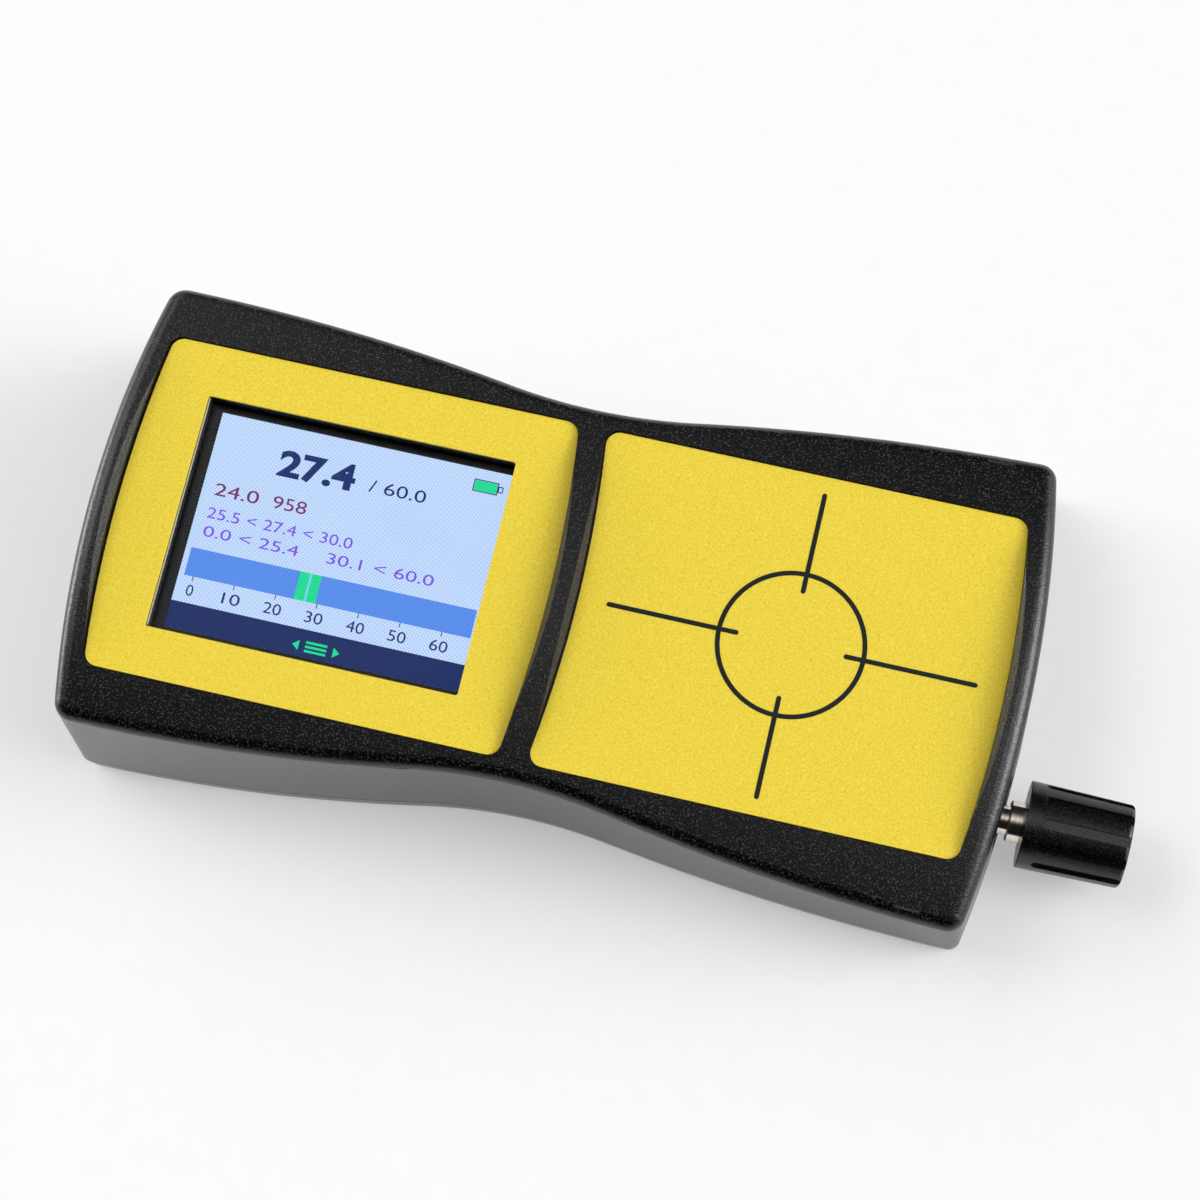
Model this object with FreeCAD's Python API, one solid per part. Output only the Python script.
"""Electronic gold tester: a hand-held case with a colour display at one end and an eddy-current
coil under a target at the other, worked by one knob that turns and pushes.

Two frames are used.  The face frame has its XY plane on top of the two labels, its origin at
the centre of the target, +X towards the knob and +Y across the case.  The row frame stands the
case on its flat base: its origin is the middle of the base, +Z is up and +X is towards the knob.
The face slopes down towards the knob, so the case is a wedge.  Lengths are in millimetres.
"""
import FreeCAD, Part
import math
import os

V = FreeCAD.Vector

# ---- outline of the case, on the face plane
LEFT_END_X = -103.9          # display end, on the centre line
RIGHT_END_X = 34.85          # knob end, on the centre line
END_RADIUS = 190.0           # both ends bow outwards
LEFT_SWELL_X = -98.0         # where the display half is widest
LEFT_SWELL_HALF = 33.3
WAIST_X = -35.0
WAIST_HALF = 28.2
WAIST_RADIUS = 85.0
RIGHT_SWELL_X = 38.0         # where the knob half would be widest
RIGHT_SWELL_HALF = 34.75
TOP_CORNER = 3.2             # corners of the outline above the labels
SPLIT_CORNER = 1.7           # and at the split and the base
INNER_CORNER = 0.9           # least radius of an inside corner

# ---- case in section
WALL = 2.2
DRAFT_DEG = 3.2              # the walls lean out from the face to the split, then in again
WEDGE_DEG = 6.6              # slope of the face against the base
SPLIT_DEPTH_RIGHT = 13.7     # face to split line at the knob end
BASE_DEPTH = 5.0             # height of the bottom shell at the split
FLOOR = 2.2
CROWN_HEIGHT = 2.4           # top of the crown above the labels
CROWN_RADIUS = 155.0
TOP_EDGE_RADIUS = 2.2
BASE_EDGE_RADIUS = 1.2
LIP_HEIGHT = 2.0
LIP_WIDTH = 1.2
LIP_CLEARANCE = 0.15
GROOVE_HEIGHT = 0.3          # shadow line round the split
GROOVE_DEPTH = 0.5

# ---- labels and their recesses
LABEL_THICKNESS = 0.5
LABEL_HALF_HEIGHT = 25.25
LABEL_CORNER = 2.0
LABEL_GAP = 0.15             # label edge to recess wall
LABEL_SHIFT = 0.12           # both labels sit this far off their recess's middle, to the right
RECESS_LEAN_DEG = 2.0        # lean of a recess's wall beside the label
RIM_HEIGHT = 1.3             # above the label the wall turns into a bevel
RIM_LEAN_DEG = 38.0
SIDE_RADIUS = 182.0          # the bowed ends of both labels
DISPLAY_LABEL_LEFT = -99.95
DISPLAY_LABEL_RIGHT = -35.3
SENSOR_LABEL_LEFT = -31.05
SENSOR_LABEL_RIGHT = 31.0
CEILING = 2.3                # labels' top to the underside of the shell behind them

# ---- display, from the window down to the board
WINDOW_X = -67.7
WINDOW_Y = -0.18
WINDOW_LENGTH = 46.2
WINDOW_WIDTH = 35.45
WINDOW_CORNER = 0.4
WINDOW_LEDGE = 0.3           # bare strip of the shell between label and window, display end
PANE_MARGIN = 2.0            # the pane is this much larger than the window on each side
PANE_THICKNESS = 0.8
GASKET_THICKNESS = 0.5
GASKET_INSET = 0.4           # gasket opening beyond the window
GLASS_LEFT_MARGIN = 0.9      # glass beyond the window, display end
GLASS_RIGHT_MARGIN = 7.2     # the driver ledge beyond the window, knob end
GLASS_SIDE_MARGIN = 1.0
GLASS_THICKNESS = 1.4
BACKLIGHT_THICKNESS = 2.2
BACKLIGHT_MARGIN = 3.2       # backlight beyond the window, knob end
TRAY_SHEET = 0.3
TRAY_CLEARANCE = 0.1
PAD_THICKNESS = 0.5
PAD_INSET = 3.0

# ---- main board
BOARD_THICKNESS = 1.6
BOARD_END_GAP = 2.5          # board to the case wall, display end
BOARD_PANEL_GAP = 0.6        # board to the end panel
BOARD_BOSS_GAP = 0.5         # board to the case bosses
BOARD_CORNER = 1.5
BOARD_SCREW_LEFT_X = -95.7
BOARD_SCREW_RIGHT_X = 20.0
BOARD_SCREW_INSET = 3.4      # from the board's long edges
BOARD_SCREW_RADIUS = 1.25
BOARD_SCREW_HEAD_RADIUS = 2.2
BOARD_SCREW_HEAD = 1.5
BOARD_SCREW_LENGTH = 6.0
BOARD_BOSS_RADIUS = 2.6
HOLE_CLEARANCE = 0.25
THREAD_CLEARANCE = 0.02

# ---- case bosses and screws
CASE_SCREW_LEFT_X = -95.0
CASE_SCREW_RIGHT_X = 25.5
CASE_BOSS_RADIUS = 3.3
CASE_BOSS_OVERLAP = 0.7      # bosses sink this far into the wall
CASE_SCREW_RADIUS = 1.5
CASE_SCREW_LENGTH = 10.0
CASE_HEAD_RADIUS = 2.75
CASE_HEAD_HEIGHT = 1.8
CASE_HEAD_RECESS = 2.6       # depth of the counterbore from the base
COUNTERBORE_CLEARANCE = 0.35
SCREW_EDGE = 0.5             # rounding of a screw's head and taper of its tip
DRIVE_RADIUS = 1.0
DRIVE_DEPTH = 1.0

# ---- end panel at the knob end
PANEL_HALF_WIDTH = 20.9
PANEL_TOP_DEPTH = 3.6        # below the labels
PANEL_RECESS = 0.2           # behind the case wall's outside
PANEL_CLEARANCE = 0.12
PANEL_FLANGE = 1.2           # flange thickness and reach behind the wall
PANEL_FLANGE_REACH = 1.2

# ---- encoder and knob, on an axis parallel to the face
AXIS_Y = -16.4
AXIS_DEPTH = 8.7
ENCODER_SIZE = 12.0
ENCODER_DEPTH = 6.5
ENCODER_CORNER = 0.8
ENCODER_GAP = 0.3            # encoder to the end panel's flange
ENCODER_FRONT = 1.0
ENCODER_BACK = 1.0
ENCODER_CAVITY_RADIUS = 5.2
LUG_THICKNESS = 0.8
LUG_REACH = 1.8
LUG_LENGTH = 3.0
BOARD_NOTCH_CLEARANCE = 0.3
BUSHING_RADIUS = 3.4
BUSHING_RECESS = 0.6         # bushing end behind the panel's outside
PANEL_HOLE_CLEARANCE = 0.15
RUNNING_CLEARANCE = 0.05
STEM_RADIUS = 2.1            # thin part of the spindle, inside the encoder
STEM_FLAT = 1.5              # axis to the flat on the stem
SHAFT_RADIUS = 3.0
SHOULDER_GAP = 1.10          # panel to the thick part of the spindle
ROTOR_RADIUS = 4.6
ROTOR_THICKNESS = 2.5
ROTOR_GAP = 0.2
ROTOR_NOTCHES = 18
ROTOR_NOTCH_RADIUS = 0.35
SPRING_SWEEP_DEG = 110.0
SPRING_THICKNESS = 0.35
SPRING_WIDTH = 1.6
DOME_RADIUS = 2.4
DOME_HEIGHT = 0.5
DOME_REACH = 0.3             # gap left between the pressed spindle and the dome
PUSH_TRAVEL = 0.5
KNOB_GAP = 3.30              # panel to the back of the knob
KNOB_LENGTH = 15.0
KNOB_BACK_RADIUS = 6.35
KNOB_FRONT_RADIUS = 6.05
KNOB_FRONT_ROUND = 0.7
KNOB_BACK_ROUND = 0.2
KNOB_BORE_DEPTH = 12.0
KNOB_BORE_CLEARANCE = 0.02
FLUTES = 11
FLUTE_TURN_DEG = 3.5         # first flute from the top, toward the near side
FLUTE_START = 2.1            # plain collar at the back of the knob
FLUTE_WIDTH = 1.5
FLUTE_DEPTH = 0.55

# ---- eddy-current coil under the target
CORE_RADIUS = 9.0
CORE_HEIGHT = 5.3
CORE_POST_RADIUS = 3.8
CORE_RIM = 1.4
CORE_SLOT_DEPTH = 3.7
CORE_BORE_RADIUS = 1.55
CORE_EXIT_WIDTH = 3.2
FORMER_CLEARANCE = 0.15
FORMER_WALL = 0.5
COIL_GAP = 0.1               # winding to the former's flanges and to the core's rim
PROBE_RADIUS = 1.1
PROBE_LENGTH = 2.6
PROBE_WIRE_RADIUS = 0.2
PROBE_WIRE_SPACING = 1.0
COIL_WIRE_RADIUS = 0.25
COIL_WIRE_REACH = 1.6        # lead foot beyond the core's rim
COIL_WIRE_BEND = 0.8

# ---- battery in the bottom shell
CELL_X = -66.0
CELL_LENGTH = 50.0
CELL_WIDTH = 34.0
CELL_THICKNESS = 9.0
CELL_CORNER = 1.6
CELL_PAD_THICKNESS = 0.8
CELL_PAD_INSET = 4.0
RIB_CLEARANCE = 0.4
RIB_WIDTH = 1.2
RIB_HEIGHT = 5.0
RIB_LENGTH = 30.0
PLUG_X = -31.0
PLUG_Y = 9.0
SOCKET_LENGTH = 6.0
SOCKET_WIDTH = 8.0
SOCKET_HEIGHT = 4.0
SOCKET_WALL = 0.8
PLUG_CLEARANCE = 0.1
PLUG_PROUD = 2.0
LEAD_RADIUS = 0.7
LEAD_SPACING = 2.6
LEAD_BEND = 2.5

# ---- charging socket and electronics on the board
CHARGE_Y = 11.0
CHARGE_WIDTH = 8.9
CHARGE_HEIGHT = 3.3
CHARGE_DEPTH = 7.3
CHARGE_SHELL = 0.35
CHARGE_ROUND = 1.2
CHARGE_TONGUE = 0.7
CHARGE_TONGUE_WIDTH = 6.6
CHARGE_SLOT_CLEARANCE = 0.4
PROCESSOR_X = -20.0
PROCESSOR_Y = 1.0
PROCESSOR_SIZE = 10.0
PROCESSOR_HEIGHT = 1.2
CHIP_HEIGHT = 1.1
CRYSTAL_LENGTH = 9.0
CRYSTAL_WIDTH = 3.6
CRYSTAL_HEIGHT = 3.0
CRYSTAL_X = -20.0
CRYSTAL_Y = -13.0
FLEX_THICKNESS = 0.2
FLEX_WIDTH = 20.0
FLEX_BEND = 0.9
FLEX_LAP = 2.0               # flex bonded under the driver ledge
FLEX_REACH = 2.2             # flex beyond the ledge before it turns down
FLEX_TAIL = 1.6              # flex beyond the turn, into its connector
CONNECTOR_LENGTH = 4.0
CONNECTOR_HEIGHT = 1.5
CONNECTOR_MARGIN = 1.2
# chips: x, y, length along X, width along Y
CHIPS = ((-22.0, 14.5, 5.0, 6.0), (-22.0, -21.0, 5.0, 4.0), (12.5, 12.5, 4.0, 5.0),
         (14.0, -12.5, 5.0, 5.0), (22.5, 3.0, 4.0, 4.0))

# ---- for cutting and for choosing edges
REACH = 10.0                 # how far a cutting block runs past what it cuts
TINY = 1e-3                  # less than any real length here

# ---- values worked out from the sizes above
WEDGE = math.radians(WEDGE_DEG)
LEAN = math.tan(math.radians(DRAFT_DEG))
BOARD_TOP = -(CEILING + PANE_THICKNESS + GASKET_THICKNESS + GLASS_THICKNESS
              + BACKLIGHT_THICKNESS + TRAY_SHEET + PAD_THICKNESS)
BOARD_BOTTOM = BOARD_TOP - BOARD_THICKNESS


def split_depth(x):
    """Depth of the split plane below the face at face x."""
    return SPLIT_DEPTH_RIGHT + math.tan(WEDGE) * (RIGHT_END_X - x)


def face_placement():
    """Places the face frame in the row frame, with the middle of the split over the origin."""
    lift = (BASE_DEPTH + math.sin(WEDGE) * RIGHT_END_X + math.cos(WEDGE) * SPLIT_DEPTH_RIGHT)
    turn = FreeCAD.Rotation(V(0, 1, 0), WEDGE_DEG)
    ends = [turn.multVec(V(x, 0, -split_depth(x))).x for x in (LEFT_END_X, RIGHT_END_X)]
    return FreeCAD.Placement(V(-sum(ends) / len(ends), 0, lift), turn)


FACE = face_placement()


def on_face(shape):
    """A shape drawn in the face frame, moved to the row frame."""
    moved = shape.copy()
    moved.Placement = FACE.multiply(moved.Placement)
    return moved


# ---------------------------------------------------------------- drawing helpers
def box(x0, x1, y0, y1, z0, z1):
    return Part.makeBox(x1 - x0, y1 - y0, z1 - z0, V(x0, y0, z0))


def plate(x0, x1, y0, y1, z0, z1, corner):
    """A box with its upright edges rounded."""
    block = box(x0, x1, y0, y1, z0, z1)
    upright = [e for e in block.Edges if abs(e.Vertexes[0].Z - e.Vertexes[1].Z) > (z1 - z0) / 2]
    return block.makeFillet(corner, upright)


def disc(radius, x, y, z0, z1):
    return Part.makeCylinder(radius, z1 - z0, V(x, y, z0))


def axle(radius, x0, x1):
    """A cylinder on the knob's axis, in the face frame."""
    return Part.makeCylinder(radius, x1 - x0, V(x0, AXIS_Y, -AXIS_DEPTH), V(1, 0, 0))


def arc(centre, radius, start, end):
    """The shorter arc from start to end of a circle in the XY plane."""
    middle = (start - centre + end - centre).normalize() * radius + centre
    return Part.Arc(start, middle, end).toShape()


def toward(centre, point, distance):
    return centre + (point - centre).normalize() * distance


def circles_meet(c1, r1, c2, r2):
    """The two points that two circles share."""
    gap = c2 - c1
    along = (gap.Length ** 2 + r1 ** 2 - r2 ** 2) / (2 * gap.Length)
    off = math.sqrt(r1 ** 2 - along ** 2)
    unit = V(gap).normalize()
    side = V(-unit.y, unit.x, 0)
    return [c1 + unit * along + side * off, c1 + unit * along - side * off]


def bent_path(points, bend):
    """Straight runs through the points, joined by tangent arcs of one radius."""
    edges, last = [], points[0]
    for before, corner, after in zip(points, points[1:], points[2:]):
        a, b = (before - corner).normalize(), (after - corner).normalize()
        half = (math.pi - a.getAngle(b)) / 2
        start, end = corner + a * bend * math.tan(half), corner + b * bend * math.tan(half)
        centre = corner + (a + b).normalize() * bend / math.cos(half)
        edges += [Part.makeLine(last, start),
                  Part.Arc(start, toward(centre, corner, bend), end).toShape()]
        last = end
    return Part.Wire(edges + [Part.makeLine(last, points[-1])])


def wire_along(points, radius, bend):
    """A round wire along a bent path."""
    path = bent_path(points, bend)
    ring = Part.Wire(Part.makeCircle(radius, points[0], points[1] - points[0]))
    return path.makePipeShell([ring], True, False)


# ---------------------------------------------------------------- outline of the case
def outline(stations, ends, corner, inset):
    """The case's hour-glass outline as one closed wire of arcs on the XY plane.

    stations are (x, half width) at the left swell, the waist and the right swell.  On each side
    the hollow waist arc runs tangent into a full arc whose highest point is the swell.  corner
    is the radius of its four corners, and inset moves the whole outline inwards.
    """
    waist_x, waist_half = stations[1]
    waist_centre = V(waist_x, waist_half + WAIST_RADIUS, 0)
    waist_radius = WAIST_RADIUS + inset
    small = max(corner - inset, INNER_CORNER)
    upper = []
    for (swell_x, swell_half), far_x, way in ((stations[2], ends[1], 1), (stations[0], ends[0], -1)):
        rise, run = swell_half - waist_half, swell_x - waist_x
        full = (run ** 2 + rise ** 2) / (2 * rise) - WAIST_RADIUS
        side_centre, side_radius = V(swell_x, swell_half - full, 0), full - inset
        end_centre, end_radius = V(far_x - way * END_RADIUS, 0, 0), END_RADIUS - inset
        spots = circles_meet(side_centre, side_radius - small, end_centre, end_radius - small)
        spot = max(spots, key=lambda p: p.y)
        on_end, on_side = toward(end_centre, spot, end_radius), toward(side_centre, spot, side_radius)
        on_waist = toward(side_centre, waist_centre, side_radius)
        flank = [arc(spot, small, on_end, on_side), arc(side_centre, side_radius, on_side, on_waist)]
        end = arc(end_centre, end_radius, V(on_end.x, -on_end.y, 0), on_end)
        upper.append((flank, end, on_waist))
    (right_flank, right_end, right_waist), (left_flank, left_end, left_waist) = upper
    waist = arc(waist_centre, waist_radius, right_waist, left_waist)
    top = right_flank + [waist] + left_flank[::-1]
    low = [edge.mirror(V(), V(0, 1, 0)) for edge in top][::-1]
    return Part.Wire([right_end] + top + [left_end] + low)


def face_outline(depth, inset):
    """Outline on a plane parallel to the face, depth below it, in the row frame."""
    grow = depth * LEAN
    stations = ((LEFT_SWELL_X, LEFT_SWELL_HALF + grow), (WAIST_X, WAIST_HALF + grow),
                (RIGHT_SWELL_X, RIGHT_SWELL_HALF + grow))
    wire = outline(stations, (LEFT_END_X - grow, RIGHT_END_X + grow), TOP_CORNER, inset)
    wire.translate(V(0, 0, -depth))
    return on_face(wire)


def base_outline(height, inset):
    """Outline on a plane parallel to the base, height above it, in the row frame."""
    shrink = (BASE_DEPTH - height) * LEAN
    stations = []
    for x, half in ((LEFT_SWELL_X, LEFT_SWELL_HALF), (WAIST_X, WAIST_HALF),
                    (RIGHT_SWELL_X, RIGHT_SWELL_HALF)):
        depth = split_depth(x)
        stations.append((FACE.multVec(V(x, 0, -depth)).x, half + depth * LEAN - shrink))
    ends = []
    for x, way in ((LEFT_END_X, -1), (RIGHT_END_X, 1)):
        depth = split_depth(x) / (1 + way * math.tan(WEDGE) * LEAN)
        ends.append(FACE.multVec(V(x + way * depth * LEAN, 0, -depth)).x - way * shrink)
    wire = outline(stations, ends, SPLIT_CORNER, inset)
    wire.translate(V(0, 0, height))
    return wire


def upper_form(inset):
    """The solid between the split and a plane above the crown, inset from the outside."""
    above = face_outline(-2 * CROWN_HEIGHT, inset)
    return Part.makeLoft([above, base_outline(BASE_DEPTH, inset)], True, True)


def upright_form(z0, z1, inset):
    """A straight-sided solid with the split's outline, inset from the outside."""
    wire = base_outline(BASE_DEPTH, inset)
    wire.translate(V(0, 0, z0 - BASE_DEPTH))
    return Part.Face(wire).extrude(V(0, 0, z1 - z0))


# ---------------------------------------------------------------- labels
def label_outline(left, left_way, right, height, grow):
    """A label's outline at a height above the face: straight long edges and bowed ends.

    left_way is -1 when the left end bows out to the left, and +1 when it is hollow, running
    parallel to the right end of the label beside it.
    """
    corner, half = LABEL_CORNER + grow, LABEL_HALF_HEIGHT + grow
    rows = []
    for x, way, full in ((right, 1, 1), (left, left_way, -left_way)):
        centre = V(x - way * SIDE_RADIUS, 0, 0)
        radius, reach = SIDE_RADIUS + full * grow, SIDE_RADIUS - full * LABEL_CORNER
        rise = LABEL_HALF_HEIGHT - LABEL_CORNER
        spot = V(centre.x + way * math.sqrt(reach ** 2 - rise ** 2), rise, 0)
        rows.append((centre, radius, toward(centre, spot, radius), spot, V(spot.x, half, 0)))
    (rc, rr, r_side, r_spot, r_top), (lc, lr, l_side, l_spot, l_top) = rows

    def low(point):
        return V(point.x, -point.y, 0)

    edges = [arc(rc, rr, low(r_side), r_side), arc(r_spot, corner, r_side, r_top),
             Part.makeLine(r_top, l_top), arc(l_spot, corner, l_top, l_side),
             arc(lc, lr, l_side, low(l_side)), arc(low(l_spot), corner, low(l_side), low(l_top)),
             Part.makeLine(low(l_top), low(r_top)), arc(low(r_spot), corner, low(r_top), low(r_side))]
    wire = Part.Wire(edges)
    wire.translate(V(0, 0, height))
    return wire


DISPLAY_LABEL = (DISPLAY_LABEL_LEFT, -1, DISPLAY_LABEL_RIGHT)
SENSOR_LABEL = (SENSOR_LABEL_LEFT, 1, SENSOR_LABEL_RIGHT)


def label_sheet(ends):
    face = Part.Face(label_outline(*ends, -LABEL_THICKNESS, 0))
    return face.extrude(V(0, 0, LABEL_THICKNESS))


def label_recess(ends):
    """The space cut for a label: steep walls beside it, then a bevel up through the crown."""
    low, wide, steps = -LABEL_THICKNESS, LABEL_GAP, []
    for high, lean in ((RIM_HEIGHT, RECESS_LEAN_DEG), (2 * CROWN_HEIGHT, RIM_LEAN_DEG)):
        wider = wide + (high - low) * math.tan(math.radians(lean))
        steps.append(Part.makeLoft([label_outline(*ends, low, wide),
                                    label_outline(*ends, high, wider)], True, True))
        low, wide = high, wider
    return steps[0].fuse(steps[1:]).translated(V(-LABEL_SHIFT, 0, 0))


def window_block(z0, z1, grow=0.0, ledge=0.0):
    """A plate over the display window, larger than it by grow, and by ledge at the display end."""
    return plate(WINDOW_X - WINDOW_LENGTH / 2 - grow - ledge, WINDOW_X + WINDOW_LENGTH / 2 + grow,
                 WINDOW_Y - WINDOW_WIDTH / 2 - grow, WINDOW_Y + WINDOW_WIDTH / 2 + grow,
                 z0, z1, WINDOW_CORNER + grow)


def display_label():
    opening = window_block(-CEILING, CROWN_HEIGHT, ledge=WINDOW_LEDGE)
    return on_face(label_sheet(DISPLAY_LABEL).cut(opening))


def sensor_label():
    return on_face(label_sheet(SENSOR_LABEL))


# ---------------------------------------------------------------- screws and bosses
def case_screw_spots():
    """Centres of the case screws on the base."""
    spots = []
    for x in (CASE_SCREW_LEFT_X, CASE_SCREW_RIGHT_X):
        shape = Part.Face(base_outline(BASE_DEPTH, WALL))
        row_x = FACE.multVec(V(x, 0, -split_depth(x))).x
        line = Part.makeLine(V(row_x, 0, BASE_DEPTH), V(row_x, 2 * RIGHT_SWELL_HALF, BASE_DEPTH))
        inner = max(v.Y for v in shape.common(line).Vertexes)
        y = inner - CASE_BOSS_RADIUS + CASE_BOSS_OVERLAP
        spots += [(row_x, y), (row_x, -y)]
    return spots


CASE_SCREWS = case_screw_spots()
BOARD_HALF = min(y for x, y in CASE_SCREWS if y > 0) - CASE_BOSS_RADIUS - BOARD_BOSS_GAP
BOARD_LEFT = LEFT_END_X + WALL + BOARD_END_GAP
BOARD_SCREW_Y = BOARD_HALF - BOARD_SCREW_INSET
BOARD_SCREWS = [(x, y) for x in (BOARD_SCREW_LEFT_X, BOARD_SCREW_RIGHT_X)
                for y in (BOARD_SCREW_Y, -BOARD_SCREW_Y)]


def screw(length, radius, head_radius, head_height):
    """A pan-head screw along +Z: its head is below z = 0 and its thread above."""
    head = disc(head_radius, 0, 0, -head_height, 0)
    head = head.makeFillet(SCREW_EDGE, [e for e in head.Edges if e.BoundBox.ZMax < TINY - head_height])
    drive = disc(DRIVE_RADIUS, 0, 0, -head_height, DRIVE_DEPTH - head_height)
    thread = disc(radius, 0, 0, 0, length)
    tip = [e for e in thread.Edges if e.BoundBox.ZMin > length - TINY]
    return head.cut(drive).fuse(thread.makeChamfer(SCREW_EDGE, tip)).removeSplitter()


def case_screws():
    one = screw(CASE_SCREW_LENGTH, CASE_SCREW_RADIUS, CASE_HEAD_RADIUS, CASE_HEAD_HEIGHT)
    return Part.makeCompound([one.translated(V(x, y, CASE_HEAD_RECESS)) for x, y in CASE_SCREWS])


def board_screws():
    one = screw(BOARD_SCREW_LENGTH, BOARD_SCREW_RADIUS, BOARD_SCREW_HEAD_RADIUS, BOARD_SCREW_HEAD)
    return on_face(Part.makeCompound([one.translated(V(x, y, BOARD_BOTTOM))
                                      for x, y in BOARD_SCREWS]))


# ---------------------------------------------------------------- end panel
PANEL_STACK = WALL + PANEL_CLEARANCE + PANEL_FLANGE


def end_x(y, depth, inset):
    """Face x of the bowed end wall at the knob end, inset from its outside."""
    return RIGHT_END_X + depth * LEAN - END_RADIUS + math.sqrt((END_RADIUS - inset) ** 2 - y ** 2)


PANEL_OUTSIDE = end_x(AXIS_Y, AXIS_DEPTH, PANEL_RECESS)
ENCODER_X = end_x(abs(AXIS_Y) + ENCODER_SIZE / 2, AXIS_DEPTH - ENCODER_SIZE / 2, PANEL_STACK) - ENCODER_GAP


def panel_zone(grow, depth):
    """Space of the end panel's opening in the wall, in the row frame."""
    half = PANEL_HALF_WIDTH + grow
    return on_face(box(RIGHT_END_X - depth, RIGHT_END_X + depth, -half, half,
                       -2 * split_depth(RIGHT_END_X), grow - PANEL_TOP_DEPTH))


def above_split(shape, gap):
    """Cuts away what lies less than gap above the split plane."""
    low = shape.BoundBox
    return shape.cut(box(low.XMin - REACH, low.XMax + REACH, low.YMin - REACH, low.YMax + REACH,
                         low.ZMin - REACH, BASE_DEPTH + gap))


def charge_slot(grow, x0, x1):
    """A rounded slot along X round the charging socket, in the face frame."""
    low = BOARD_TOP - grow
    slot = box(x0, x1, CHARGE_Y - CHARGE_WIDTH / 2 - grow, CHARGE_Y + CHARGE_WIDTH / 2 + grow,
               low, BOARD_TOP + CHARGE_HEIGHT + grow)
    long_edges = [e for e in slot.Edges if e.BoundBox.XLength > (x1 - x0) / 2]
    return slot.makeFillet(CHARGE_ROUND + grow, long_edges)


def end_panel():
    pad = upper_form(PANEL_RECESS).cut(upper_form(WALL + PANEL_CLEARANCE))
    pad = pad.common(panel_zone(-PANEL_CLEARANCE, REACH))
    flange = upper_form(WALL + PANEL_CLEARANCE).cut(upper_form(PANEL_STACK))
    flange = flange.common(panel_zone(PANEL_FLANGE_REACH, REACH))
    panel = above_split(pad.fuse(flange), PANEL_CLEARANCE)
    hole = axle(BUSHING_RADIUS + PANEL_HOLE_CLEARANCE, PANEL_OUTSIDE - REACH, PANEL_OUTSIDE + REACH)
    slot = charge_slot(CHARGE_SLOT_CLEARANCE, PANEL_OUTSIDE - REACH, PANEL_OUTSIDE + REACH)
    return panel.cut(on_face(hole)).cut(on_face(slot)).removeSplitter()


# ---------------------------------------------------------------- case shells
def below_ceiling(shape, depth):
    """Keeps what lies deeper than depth below the face."""
    reach = 3 * abs(LEFT_END_X)
    return shape.common(on_face(box(-reach, reach, -reach, reach, -reach, -depth)))


def top_form():
    """The outside of the top shell: leaning walls under a crown, with a round top edge."""
    middle = V(2 * LEFT_END_X, 0, CROWN_HEIGHT - CROWN_RADIUS)
    crown = Part.makeCylinder(CROWN_RADIUS, -4 * LEFT_END_X, middle, V(1, 0, 0))
    crown.rotate(middle, V(1, 0, 0), 180)      # keeps the cylinder's seam off the crown
    form = upper_form(0).common(on_face(crown))
    top = max(form.Faces, key=lambda f: f.CenterOfMass.z)
    return form.makeFillet(TOP_EDGE_RADIUS, top.OuterWire.Edges)


def top_shell():
    outside = top_form()
    shell = outside.cut(below_ceiling(upper_form(WALL), CEILING))
    bosses = []
    for x, y in CASE_SCREWS:
        bosses.append(disc(CASE_BOSS_RADIUS, x, y, BASE_DEPTH, FACE.Base.z))
    posts = [on_face(disc(BOARD_BOSS_RADIUS, x, y, BOARD_TOP, -CEILING)) for x, y in BOARD_SCREWS]
    inside = below_ceiling(upper_form(WALL / 2), CEILING / 2)
    shell = shell.fuse([boss.common(inside) for boss in bosses] + posts)
    tip = CASE_HEAD_RECESS + CASE_SCREW_LENGTH
    for x, y in CASE_SCREWS:
        shell = shell.cut(disc(CASE_SCREW_RADIUS + THREAD_CLEARANCE, x, y, BASE_DEPTH, tip + WALL))
    for x, y in BOARD_SCREWS:
        hole = disc(BOARD_SCREW_RADIUS + THREAD_CLEARANCE, x, y, BOARD_TOP,
                    BOARD_BOTTOM + BOARD_SCREW_LENGTH + HOLE_CLEARANCE)
        shell = shell.cut(on_face(hole))
    for ends in (DISPLAY_LABEL, SENSOR_LABEL):
        shell = shell.cut(on_face(label_recess(ends)))
    shell = shell.cut(on_face(window_block(-2 * CEILING, CROWN_HEIGHT)))
    shell = shell.cut(panel_zone(0, 2 * WALL).cut(below_flange()))
    return shell.removeSplitter()


def below_flange():
    """What the panel's opening must not reach: the space inside the wall."""
    return upper_form(PANEL_STACK + PANEL_FLANGE_REACH)


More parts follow.
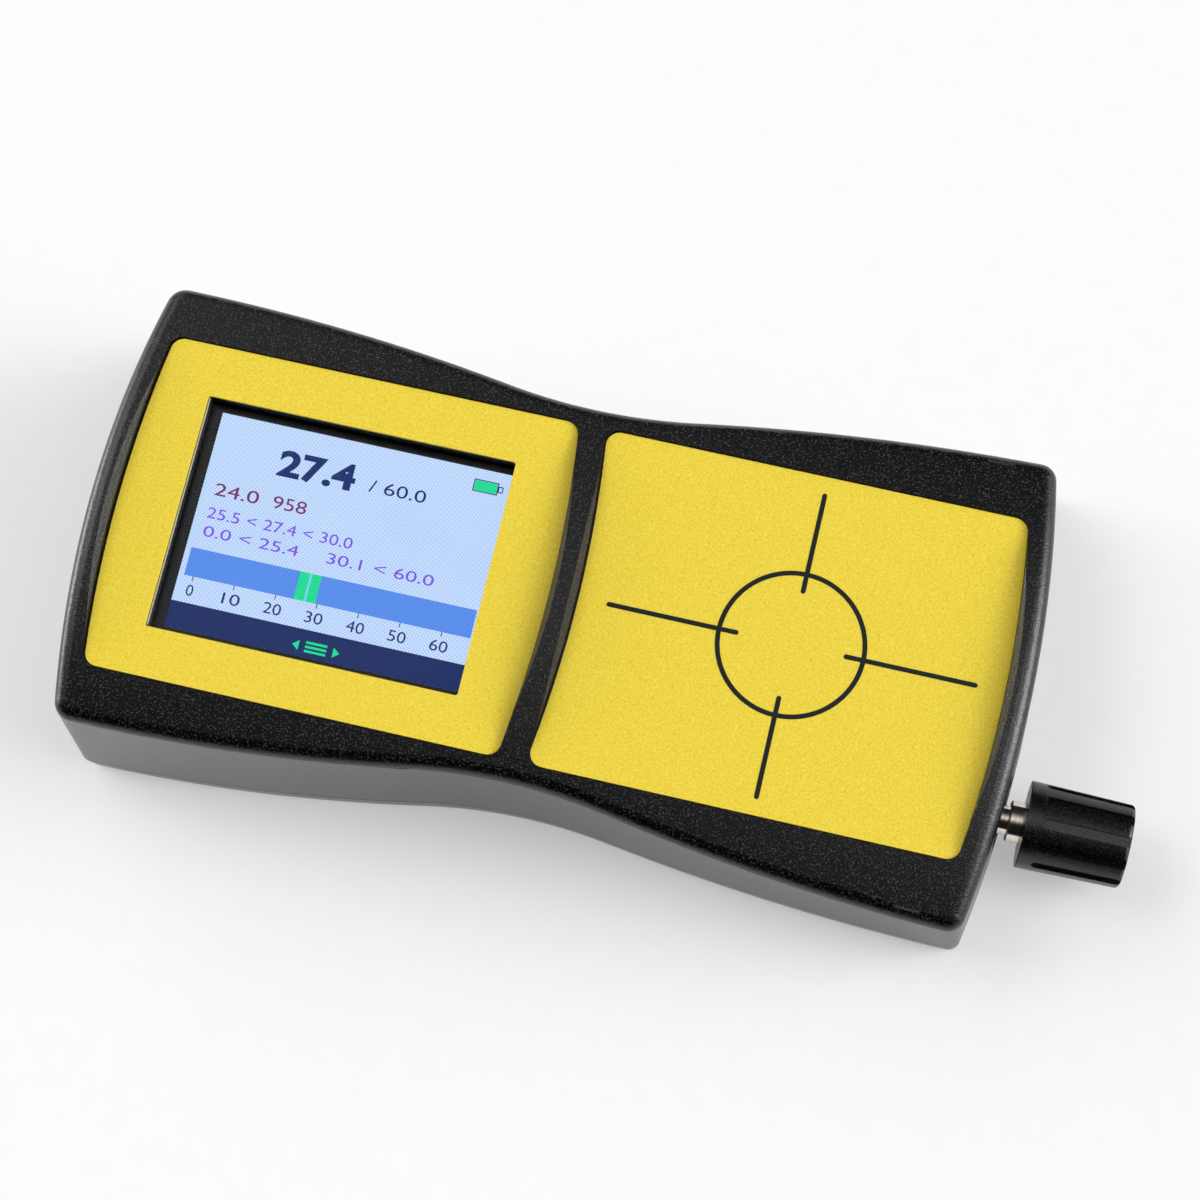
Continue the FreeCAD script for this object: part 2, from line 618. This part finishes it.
def bottom_shell():
    body = Part.makeLoft([base_outline(0, 0), base_outline(BASE_DEPTH, 0)], True, True)
    base = min(body.Faces, key=lambda f: f.CenterOfMass.z)
    body = body.makeFillet(BASE_EDGE_RADIUS, base.OuterWire.Edges)
    lip_outside = WALL + LIP_CLEARANCE
    lip = upper_form(lip_outside).cut(upper_form(lip_outside + LIP_WIDTH))
    body = body.fuse(lip.common(upright_form(BASE_DEPTH, BASE_DEPTH + LIP_HEIGHT, 0)))
    body = body.cut(upright_form(FLOOR, BASE_DEPTH, lip_outside + LIP_WIDTH))
    ring = upright_form(BASE_DEPTH - GROOVE_HEIGHT, BASE_DEPTH, -WALL)
    ring = ring.cut(upright_form(BASE_DEPTH - GROOVE_HEIGHT, BASE_DEPTH, GROOVE_DEPTH))
    body = body.cut(ring)
    half = PANEL_HALF_WIDTH + PANEL_FLANGE_REACH + 2 * PANEL_CLEARANCE
    right = FACE.multVec(V(RIGHT_END_X, 0, -SPLIT_DEPTH_RIGHT)).x
    depth = WALL + PANEL_FLANGE + LIP_CLEARANCE + LIP_WIDTH + 2 * PANEL_CLEARANCE
    body = body.cut(box(right - depth, right + depth, -half, half, BASE_DEPTH, BASE_DEPTH + 2 * LIP_HEIGHT))
    for x, y in CASE_SCREWS:
        around = disc(CASE_BOSS_RADIUS + LIP_CLEARANCE, x, y, BASE_DEPTH, BASE_DEPTH + 2 * LIP_HEIGHT)
        pillar = disc(CASE_BOSS_RADIUS, x, y, FLOOR / 2, BASE_DEPTH)
        body = body.cut(around).fuse(pillar)
    for x, y in CASE_SCREWS:
        head = disc(CASE_HEAD_RADIUS + COUNTERBORE_CLEARANCE, x, y, 0, CASE_HEAD_RECESS)
        shank = disc(CASE_SCREW_RADIUS + HOLE_CLEARANCE, x, y, 0, BASE_DEPTH)
        body = body.cut(head).cut(shank)
    for way in (-1, 1):
        near = CELL_WIDTH / 2 + RIB_CLEARANCE
        low, high = sorted((way * near, way * (near + RIB_WIDTH)))
        middle = cell_middle()
        body = body.fuse(box(middle - RIB_LENGTH / 2, middle + RIB_LENGTH / 2, low, high,
                             FLOOR / 2, FLOOR + RIB_HEIGHT))
    return body.removeSplitter()


# ---------------------------------------------------------------- display
def display_window():
    return on_face(window_block(-CEILING - PANE_THICKNESS, -CEILING, PANE_MARGIN))


GASKET_LOW = -CEILING - PANE_THICKNESS - GASKET_THICKNESS
GLASS_LOW = GASKET_LOW - GLASS_THICKNESS
BACKLIGHT_LOW = GLASS_LOW - BACKLIGHT_THICKNESS
TRAY_LOW = BACKLIGHT_LOW - TRAY_SHEET
MODULE_LEFT = WINDOW_X - WINDOW_LENGTH / 2 - GLASS_LEFT_MARGIN
GLASS_RIGHT = WINDOW_X + WINDOW_LENGTH / 2 + GLASS_RIGHT_MARGIN
BACKLIGHT_RIGHT = WINDOW_X + WINDOW_LENGTH / 2 + BACKLIGHT_MARGIN
MODULE_HALF = WINDOW_WIDTH / 2 + GLASS_SIDE_MARGIN


def window_gasket():
    frame = window_block(GASKET_LOW, GASKET_LOW + GASKET_THICKNESS, PANE_MARGIN)
    return on_face(frame.cut(window_block(GASKET_LOW, GASKET_LOW + GASKET_THICKNESS, GASKET_INSET)))


def module_box(right, z0, z1, grow=0.0):
    return box(MODULE_LEFT - grow, right + grow, WINDOW_Y - MODULE_HALF - grow,
               WINDOW_Y + MODULE_HALF + grow, z0, z1)


def lcd_glass():
    return on_face(module_box(GLASS_RIGHT, GLASS_LOW, GASKET_LOW))


def lcd_backlight():
    return on_face(module_box(BACKLIGHT_RIGHT, BACKLIGHT_LOW, GLASS_LOW))


def lcd_tray():
    """A pressed tray round the glass and backlight, open under the driver ledge."""
    inner = TRAY_CLEARANCE
    outer = TRAY_CLEARANCE + TRAY_SHEET
    rim = GASKET_LOW - TRAY_SHEET
    tray = module_box(BACKLIGHT_RIGHT, TRAY_LOW, rim, outer)
    tray = tray.cut(module_box(BACKLIGHT_RIGHT, BACKLIGHT_LOW, rim, inner))
    ledge = box(BACKLIGHT_RIGHT, GLASS_RIGHT + outer, WINDOW_Y - MODULE_HALF - inner,
                WINDOW_Y + MODULE_HALF + inner, GLASS_LOW - TRAY_SHEET, rim)
    return on_face(tray.cut(ledge))


def lcd_pad():
    return on_face(module_box(BACKLIGHT_RIGHT, BOARD_TOP, TRAY_LOW, -PAD_INSET))


FLEX_TURN_X = GLASS_RIGHT + FLEX_REACH
CONNECTOR_X = FLEX_TURN_X + FLEX_TAIL
FLEX_TAIL_Z = BOARD_TOP + CONNECTOR_HEIGHT / 2


def lcd_flex():
    """A printed ribbon from under the driver ledge, round and down to its connector."""
    high = GLASS_LOW - FLEX_THICKNESS / 2
    path = bent_path([V(GLASS_RIGHT - FLEX_LAP, 0, high), V(FLEX_TURN_X, 0, high),
                      V(FLEX_TURN_X, 0, FLEX_TAIL_Z), V(CONNECTOR_X, 0, FLEX_TAIL_Z)], FLEX_BEND)
    x, half, thin = GLASS_RIGHT - FLEX_LAP, FLEX_WIDTH / 2, FLEX_THICKNESS / 2
    section = Part.makePolygon([V(x, -half, high - thin), V(x, half, high - thin),
                                V(x, half, high + thin), V(x, -half, high + thin),
                                V(x, -half, high - thin)])
    return on_face(path.makePipeShell([section], True, False).translated(V(0, WINDOW_Y, 0)))


def lcd_connector():
    half = FLEX_WIDTH / 2 + CONNECTOR_MARGIN
    return on_face(box(CONNECTOR_X, CONNECTOR_X + CONNECTOR_LENGTH, WINDOW_Y - half,
                       WINDOW_Y + half, BOARD_TOP, BOARD_TOP + CONNECTOR_HEIGHT))


# ---------------------------------------------------------------- board and electronics
BOARD_RIGHT = end_x(BOARD_HALF, -BOARD_TOP, PANEL_STACK) - BOARD_PANEL_GAP


def main_board():
    board = plate(BOARD_LEFT, BOARD_RIGHT, -BOARD_HALF, BOARD_HALF, BOARD_BOTTOM, BOARD_TOP,
                  BOARD_CORNER)
    half = ENCODER_SIZE / 2 + BOARD_NOTCH_CLEARANCE
    notch = box(ENCODER_X - ENCODER_DEPTH - BOARD_NOTCH_CLEARANCE, BOARD_RIGHT + BOARD_CORNER,
                AXIS_Y - half, AXIS_Y + half, BOARD_BOTTOM, BOARD_TOP)
    board = board.cut(notch)
    for x, y in BOARD_SCREWS:
        board = board.cut(disc(BOARD_SCREW_RADIUS + HOLE_CLEARANCE, x, y, BOARD_BOTTOM, BOARD_TOP))
    return on_face(board)


def processor_chip():
    half = PROCESSOR_SIZE / 2
    return on_face(plate(PROCESSOR_X - half, PROCESSOR_X + half, PROCESSOR_Y - half,
                         PROCESSOR_Y + half, BOARD_TOP, BOARD_TOP + PROCESSOR_HEIGHT, FLEX_THICKNESS))


def board_chips():
    chips = [box(x - length / 2, x + length / 2, y - width / 2, y + width / 2,
                 BOARD_TOP, BOARD_TOP + CHIP_HEIGHT) for x, y, length, width in CHIPS]
    return on_face(Part.makeCompound(chips))


def crystal_can():
    return on_face(plate(CRYSTAL_X - CRYSTAL_LENGTH / 2, CRYSTAL_X + CRYSTAL_LENGTH / 2,
                         CRYSTAL_Y - CRYSTAL_WIDTH / 2, CRYSTAL_Y + CRYSTAL_WIDTH / 2,
                         BOARD_TOP, BOARD_TOP + CRYSTAL_HEIGHT, CRYSTAL_WIDTH / 3))


def charge_socket():
    """A steel shell with a tongue inside, its mouth just behind the end panel's outside."""
    mouth = end_x(CHARGE_Y + CHARGE_WIDTH / 2, -BOARD_TOP, 2 * PANEL_RECESS)
    shell = charge_slot(0, mouth - CHARGE_DEPTH, mouth)
    shell = shell.cut(charge_slot(-CHARGE_SHELL, mouth - CHARGE_DEPTH + CHARGE_SHELL, mouth + REACH))
    middle = BOARD_TOP + CHARGE_HEIGHT / 2
    tongue = box(mouth - CHARGE_DEPTH, mouth - 2 * CHARGE_SHELL, CHARGE_Y - CHARGE_TONGUE_WIDTH / 2,
                 CHARGE_Y + CHARGE_TONGUE_WIDTH / 2, middle - CHARGE_TONGUE / 2,
                 middle + CHARGE_TONGUE / 2)
    return on_face(shell.fuse(tongue))


# ---------------------------------------------------------------- coil
CORE_SLOT_RADIUS = CORE_RADIUS - CORE_RIM


def coil_core():
    """A ferrite pot core, open towards the target, with two wire exits in its rim."""
    low = -CEILING - CORE_HEIGHT
    core = disc(CORE_RADIUS, 0, 0, low, -CEILING)
    trough = disc(CORE_SLOT_RADIUS, 0, 0, -CEILING - CORE_SLOT_DEPTH, -CEILING)
    core = core.cut(trough.cut(disc(CORE_POST_RADIUS, 0, 0, low, -CEILING)))
    half = CORE_EXIT_WIDTH / 2
    for way in (-1, 1):
        x0, x1 = sorted((way * (CORE_SLOT_RADIUS - CORE_RIM), way * (CORE_RADIUS + CORE_RIM)))
        core = core.cut(box(x0, x1, -half, half, -CEILING - CORE_SLOT_DEPTH, -CEILING))
    return on_face(core.cut(disc(CORE_BORE_RADIUS, 0, 0, low, -CEILING)))


FORMER_IN = CORE_POST_RADIUS + FORMER_CLEARANCE
FORMER_OUT = CORE_SLOT_RADIUS - FORMER_CLEARANCE
FORMER_LOW = -CEILING - CORE_SLOT_DEPTH


def coil_former():
    """A spool round the core's post: a tube between two flanges."""
    spool = disc(FORMER_OUT, 0, 0, FORMER_LOW, -CEILING)
    groove = disc(FORMER_OUT + FORMER_WALL, 0, 0, FORMER_LOW + FORMER_WALL, -CEILING - FORMER_WALL)
    groove = groove.cut(disc(FORMER_IN + FORMER_WALL, 0, 0, FORMER_LOW, -CEILING))
    return on_face(spool.cut(groove).cut(disc(FORMER_IN, 0, 0, FORMER_LOW, -CEILING)))


WINDING_OUT = FORMER_OUT - COIL_GAP
WINDING_LOW = FORMER_LOW + FORMER_WALL + COIL_GAP
WINDING_HIGH = -CEILING - FORMER_WALL - COIL_GAP


def coil_winding():
    ring = disc(WINDING_OUT, 0, 0, WINDING_LOW, WINDING_HIGH)
    return on_face(ring.cut(disc(FORMER_IN + FORMER_WALL, 0, 0, WINDING_LOW, WINDING_HIGH)))


def coil_leads():
    """The winding's two ends, out through the core's exits and down to the board."""
    leads = []
    z = (WINDING_LOW + WINDING_HIGH) / 2
    for way in (-1, 1):
        foot = way * (CORE_RADIUS + COIL_WIRE_REACH)
        leads.append(wire_along([V(way * WINDING_OUT, 0, z), V(foot, 0, z), V(foot, 0, BOARD_TOP)],
                                COIL_WIRE_RADIUS, COIL_WIRE_BEND))
    return on_face(Part.makeCompound(leads))


def coil_pad():
    pad = disc(CORE_RADIUS, 0, 0, BOARD_TOP, -CEILING - CORE_HEIGHT)
    return on_face(pad.cut(disc(CORE_BORE_RADIUS, 0, 0, BOARD_TOP, -CEILING)))


def temperature_probe():
    """A sensing bead against the case, in the core's bore, on two legs from the board."""
    bead = disc(PROBE_RADIUS, 0, 0, -CEILING - PROBE_LENGTH, -CEILING)
    legs = [disc(PROBE_WIRE_RADIUS, 0, way * PROBE_WIRE_SPACING / 2, BOARD_TOP,
                 -CEILING - PROBE_LENGTH) for way in (-1, 1)]
    return on_face(bead.fuse(legs))


# ---------------------------------------------------------------- encoder and knob
CAVITY_FRONT = ENCODER_X - ENCODER_FRONT
CAVITY_BACK = ENCODER_X - ENCODER_DEPTH + ENCODER_BACK
SHOULDER_X = PANEL_OUTSIDE + SHOULDER_GAP
STEM_BACK = CAVITY_BACK + DOME_HEIGHT + DOME_REACH + PUSH_TRAVEL
ROTOR_FRONT = CAVITY_FRONT - ROTOR_GAP
ROTOR_BACK = ROTOR_FRONT - ROTOR_THICKNESS


def encoder_housing():
    half = ENCODER_SIZE / 2
    back = ENCODER_X - ENCODER_DEPTH
    body = box(back, ENCODER_X, AXIS_Y - half, AXIS_Y + half, -AXIS_DEPTH - half, -AXIS_DEPTH + half)
    long_edges = [e for e in body.Edges if e.BoundBox.XLength > ENCODER_DEPTH / 2]
    body = body.makeFillet(ENCODER_CORNER, long_edges)
    middle = ENCODER_X - ENCODER_DEPTH / 2
    lug = box(middle - LUG_LENGTH / 2, middle + LUG_LENGTH / 2, AXIS_Y - half - LUG_REACH,
              AXIS_Y + half + LUG_REACH, BOARD_TOP, BOARD_TOP + LUG_THICKNESS)
    body = body.fuse(lug).cut(axle(ENCODER_CAVITY_RADIUS, CAVITY_BACK, CAVITY_FRONT))
    return on_face(body.cut(axle(STEM_RADIUS + PANEL_HOLE_CLEARANCE, CAVITY_FRONT, ENCODER_X)))


def encoder_bushing():
    tube = axle(BUSHING_RADIUS, ENCODER_X, PANEL_OUTSIDE - BUSHING_RECESS)
    return on_face(tube.cut(axle(STEM_RADIUS + RUNNING_CLEARANCE, ENCODER_X, PANEL_OUTSIDE)))


def stem(radius, flat, x0, x1):
    """The thin part of the spindle, with one flat on its upper side."""
    rod = axle(radius, x0, x1)
    off = box(x0, x1, AXIS_Y - 2 * radius, AXIS_Y + 2 * radius, flat - AXIS_DEPTH,
              2 * radius - AXIS_DEPTH)
    return rod.cut(off)


def encoder_rotor():
    """The notched wheel, keyed to the stem's flat, so that the stem turns it and slides in it."""
    wheel = axle(ROTOR_RADIUS, ROTOR_BACK, ROTOR_FRONT)
    for i in range(ROTOR_NOTCHES):
        turn = 2 * math.pi * i / ROTOR_NOTCHES
        spot = V(ROTOR_BACK, AXIS_Y + ROTOR_RADIUS * math.cos(turn),
                 ROTOR_RADIUS * math.sin(turn) - AXIS_DEPTH)
        wheel = wheel.cut(Part.makeCylinder(ROTOR_NOTCH_RADIUS, ROTOR_THICKNESS, spot, V(1, 0, 0)))
    return on_face(wheel.cut(stem(STEM_RADIUS + RUNNING_CLEARANCE, STEM_FLAT + RUNNING_CLEARANCE,
                                  ROTOR_BACK, ROTOR_FRONT)))


def detent_spring():
    """A leaf bowed against the cavity wall, beside the notched wheel."""
    middle = (ROTOR_BACK + ROTOR_FRONT) / 2
    x0, x1 = middle - SPRING_WIDTH / 2, middle + SPRING_WIDTH / 2
    centre = V(x0, AXIS_Y, -AXIS_DEPTH)
    sector = Part.makeCylinder(ENCODER_CAVITY_RADIUS, x1 - x0, centre, V(1, 0, 0), SPRING_SWEEP_DEG)
    return on_face(sector.cut(axle(ENCODER_CAVITY_RADIUS - SPRING_THICKNESS, x0, x1)))


def push_dome():
    """The snap dome behind the stem, a shallow cap on the encoder's back wall."""
    radius = (DOME_RADIUS ** 2 + DOME_HEIGHT ** 2) / (2 * DOME_HEIGHT)
    ball = Part.makeSphere(radius, V(CAVITY_BACK + DOME_HEIGHT - radius, AXIS_Y, -AXIS_DEPTH))
    return on_face(ball.common(axle(DOME_RADIUS, CAVITY_BACK, CAVITY_BACK + DOME_HEIGHT)))


KNOB_BACK_X = PANEL_OUTSIDE + KNOB_GAP
KNOB_FRONT_X = KNOB_BACK_X + KNOB_LENGTH


def encoder_shaft():
    key_front = CAVITY_FRONT + PUSH_TRAVEL      # the flat stays in the wheel when pushed
    thin = axle(STEM_RADIUS, key_front, SHOULDER_X)
    keyed = stem(STEM_RADIUS, STEM_FLAT, STEM_BACK, key_front)
    thick = axle(SHAFT_RADIUS, SHOULDER_X, KNOB_BACK_X + KNOB_BORE_DEPTH)
    rims = [e for e in thick.Edges if e.BoundBox.XLength < KNOB_BACK_ROUND]
    thick = thick.makeChamfer(KNOB_BACK_ROUND, rims)
    return on_face(thin.fuse([keyed, thick]).removeSplitter())


def control_knob():
    """A tapered knob with flutes that start past a plain collar and run out at the front."""
    body = Part.makeCone(KNOB_BACK_RADIUS, KNOB_FRONT_RADIUS, KNOB_LENGTH,
                         V(KNOB_BACK_X, AXIS_Y, -AXIS_DEPTH), V(1, 0, 0))
    for x, radius in ((KNOB_FRONT_X, KNOB_FRONT_ROUND), (KNOB_BACK_X, KNOB_BACK_ROUND)):
        rim = [e for e in body.Edges if e.BoundBox.XLength < TINY and abs(e.BoundBox.XMin - x) < TINY]
        body = body.makeFillet(radius, rim)
    slope = math.atan((KNOB_BACK_RADIUS - KNOB_FRONT_RADIUS) / KNOB_LENGTH)
    cutter_radius = FLUTE_WIDTH / 2
    start = V(KNOB_BACK_X + FLUTE_START + cutter_radius, 0,
              KNOB_BACK_RADIUS - FLUTE_START * math.tan(slope) - FLUTE_DEPTH)
    run = V(math.cos(slope), 0, -math.sin(slope))
    floor = Part.makeCylinder(cutter_radius, KNOB_FRONT_RADIUS, start, V(0, 0, 1))
    channel = box(0, KNOB_LENGTH, -cutter_radius, cutter_radius, 0, KNOB_FRONT_RADIUS)
    channel.Placement = FreeCAD.Placement(start, FreeCAD.Rotation(V(1, 0, 0), run))
    cutter = floor.fuse(channel)
    for i in range(FLUTES):
        one = cutter.copy()
        one.rotate(V(), V(1, 0, 0), FLUTE_TURN_DEG + 360.0 * i / FLUTES)
        one.translate(V(0, AXIS_Y, -AXIS_DEPTH))
        body = body.cut(one)
    bore = axle(SHAFT_RADIUS + KNOB_BORE_CLEARANCE, KNOB_BACK_X, KNOB_BACK_X + KNOB_BORE_DEPTH)
    return on_face(body.cut(bore))


# ---------------------------------------------------------------- battery
def cell_middle():
    return FACE.multVec(V(CELL_X, 0, -split_depth(CELL_X))).x


def cell_block(z0, z1, inset, corner):
    x, half_x, half_y = cell_middle(), CELL_LENGTH / 2 - inset, CELL_WIDTH / 2 - inset
    return plate(x - half_x, x + half_x, -half_y, half_y, z0, z1, corner)


CELL_LOW = FLOOR + CELL_PAD_THICKNESS


def battery_pad():
    return cell_block(FLOOR, CELL_LOW, CELL_PAD_INSET, CELL_CORNER)


def battery_cell():
    cell = cell_block(CELL_LOW, CELL_LOW + CELL_THICKNESS, 0, CELL_CORNER)
    flat = [e for e in cell.Edges if e.BoundBox.ZLength < TINY]
    return cell.makeFillet(CELL_CORNER / 2, flat)


def socket_box(grow, z0, z1):
    half_x, half_y = SOCKET_LENGTH / 2 + grow, SOCKET_WIDTH / 2 + grow
    return box(PLUG_X - half_x, PLUG_X + half_x, PLUG_Y - half_y, PLUG_Y + half_y, z0, z1)


def battery_socket():
    """A header under the board, open downwards."""
    shell = socket_box(0, BOARD_BOTTOM - SOCKET_HEIGHT, BOARD_BOTTOM)
    return on_face(shell.cut(socket_box(-SOCKET_WALL, BOARD_BOTTOM - SOCKET_HEIGHT,
                                        BOARD_BOTTOM - SOCKET_WALL)))


def battery_plug():
    top = BOARD_BOTTOM - SOCKET_WALL - PLUG_CLEARANCE
    return on_face(socket_box(-SOCKET_WALL - PLUG_CLEARANCE,
                              BOARD_BOTTOM - SOCKET_HEIGHT - PLUG_PROUD, top))


def battery_leads():
    """Two leads from the end of the cell to the plug."""
    leads = []
    low = V(cell_middle() + CELL_LENGTH / 2, 0, CELL_LOW + CELL_THICKNESS / 2)
    plug = BOARD_BOTTOM - SOCKET_HEIGHT - PLUG_PROUD
    for way in (-1, 1):
        y = PLUG_Y + way * LEAD_SPACING / 2
        top = FACE.multVec(V(PLUG_X, y, plug))
        turn = FACE.multVec(V(PLUG_X, y, plug - (top.z - low.z) / math.cos(WEDGE)))
        leads.append(wire_along([V(low.x, y, low.z), turn, top], LEAD_RADIUS, LEAD_BEND))
    return Part.makeCompound(leads)


NODES = (top_shell, bottom_shell, end_panel, display_label, sensor_label, display_window,
         window_gasket, lcd_glass, lcd_backlight, lcd_tray, lcd_pad, lcd_flex, lcd_connector,
         main_board, processor_chip, board_chips, crystal_can, charge_socket, coil_core,
         coil_former, coil_winding, coil_leads, coil_pad, temperature_probe, encoder_housing,
         encoder_bushing, encoder_rotor, detent_spring, push_dome, encoder_shaft, control_knob,
         battery_cell, battery_pad, battery_socket, battery_plug, battery_leads, case_screws,
         board_screws)

os.makedirs("parts", exist_ok=True)
for make in NODES:
    solid = make()
    if not solid.isValid() or not solid.Solids:
        raise ValueError(make.__name__ + " is not a sound solid")
    solid.exportStep("parts/" + make.__name__ + ".step")
    print(make.__name__, len(solid.Solids), round(solid.Volume, 1))
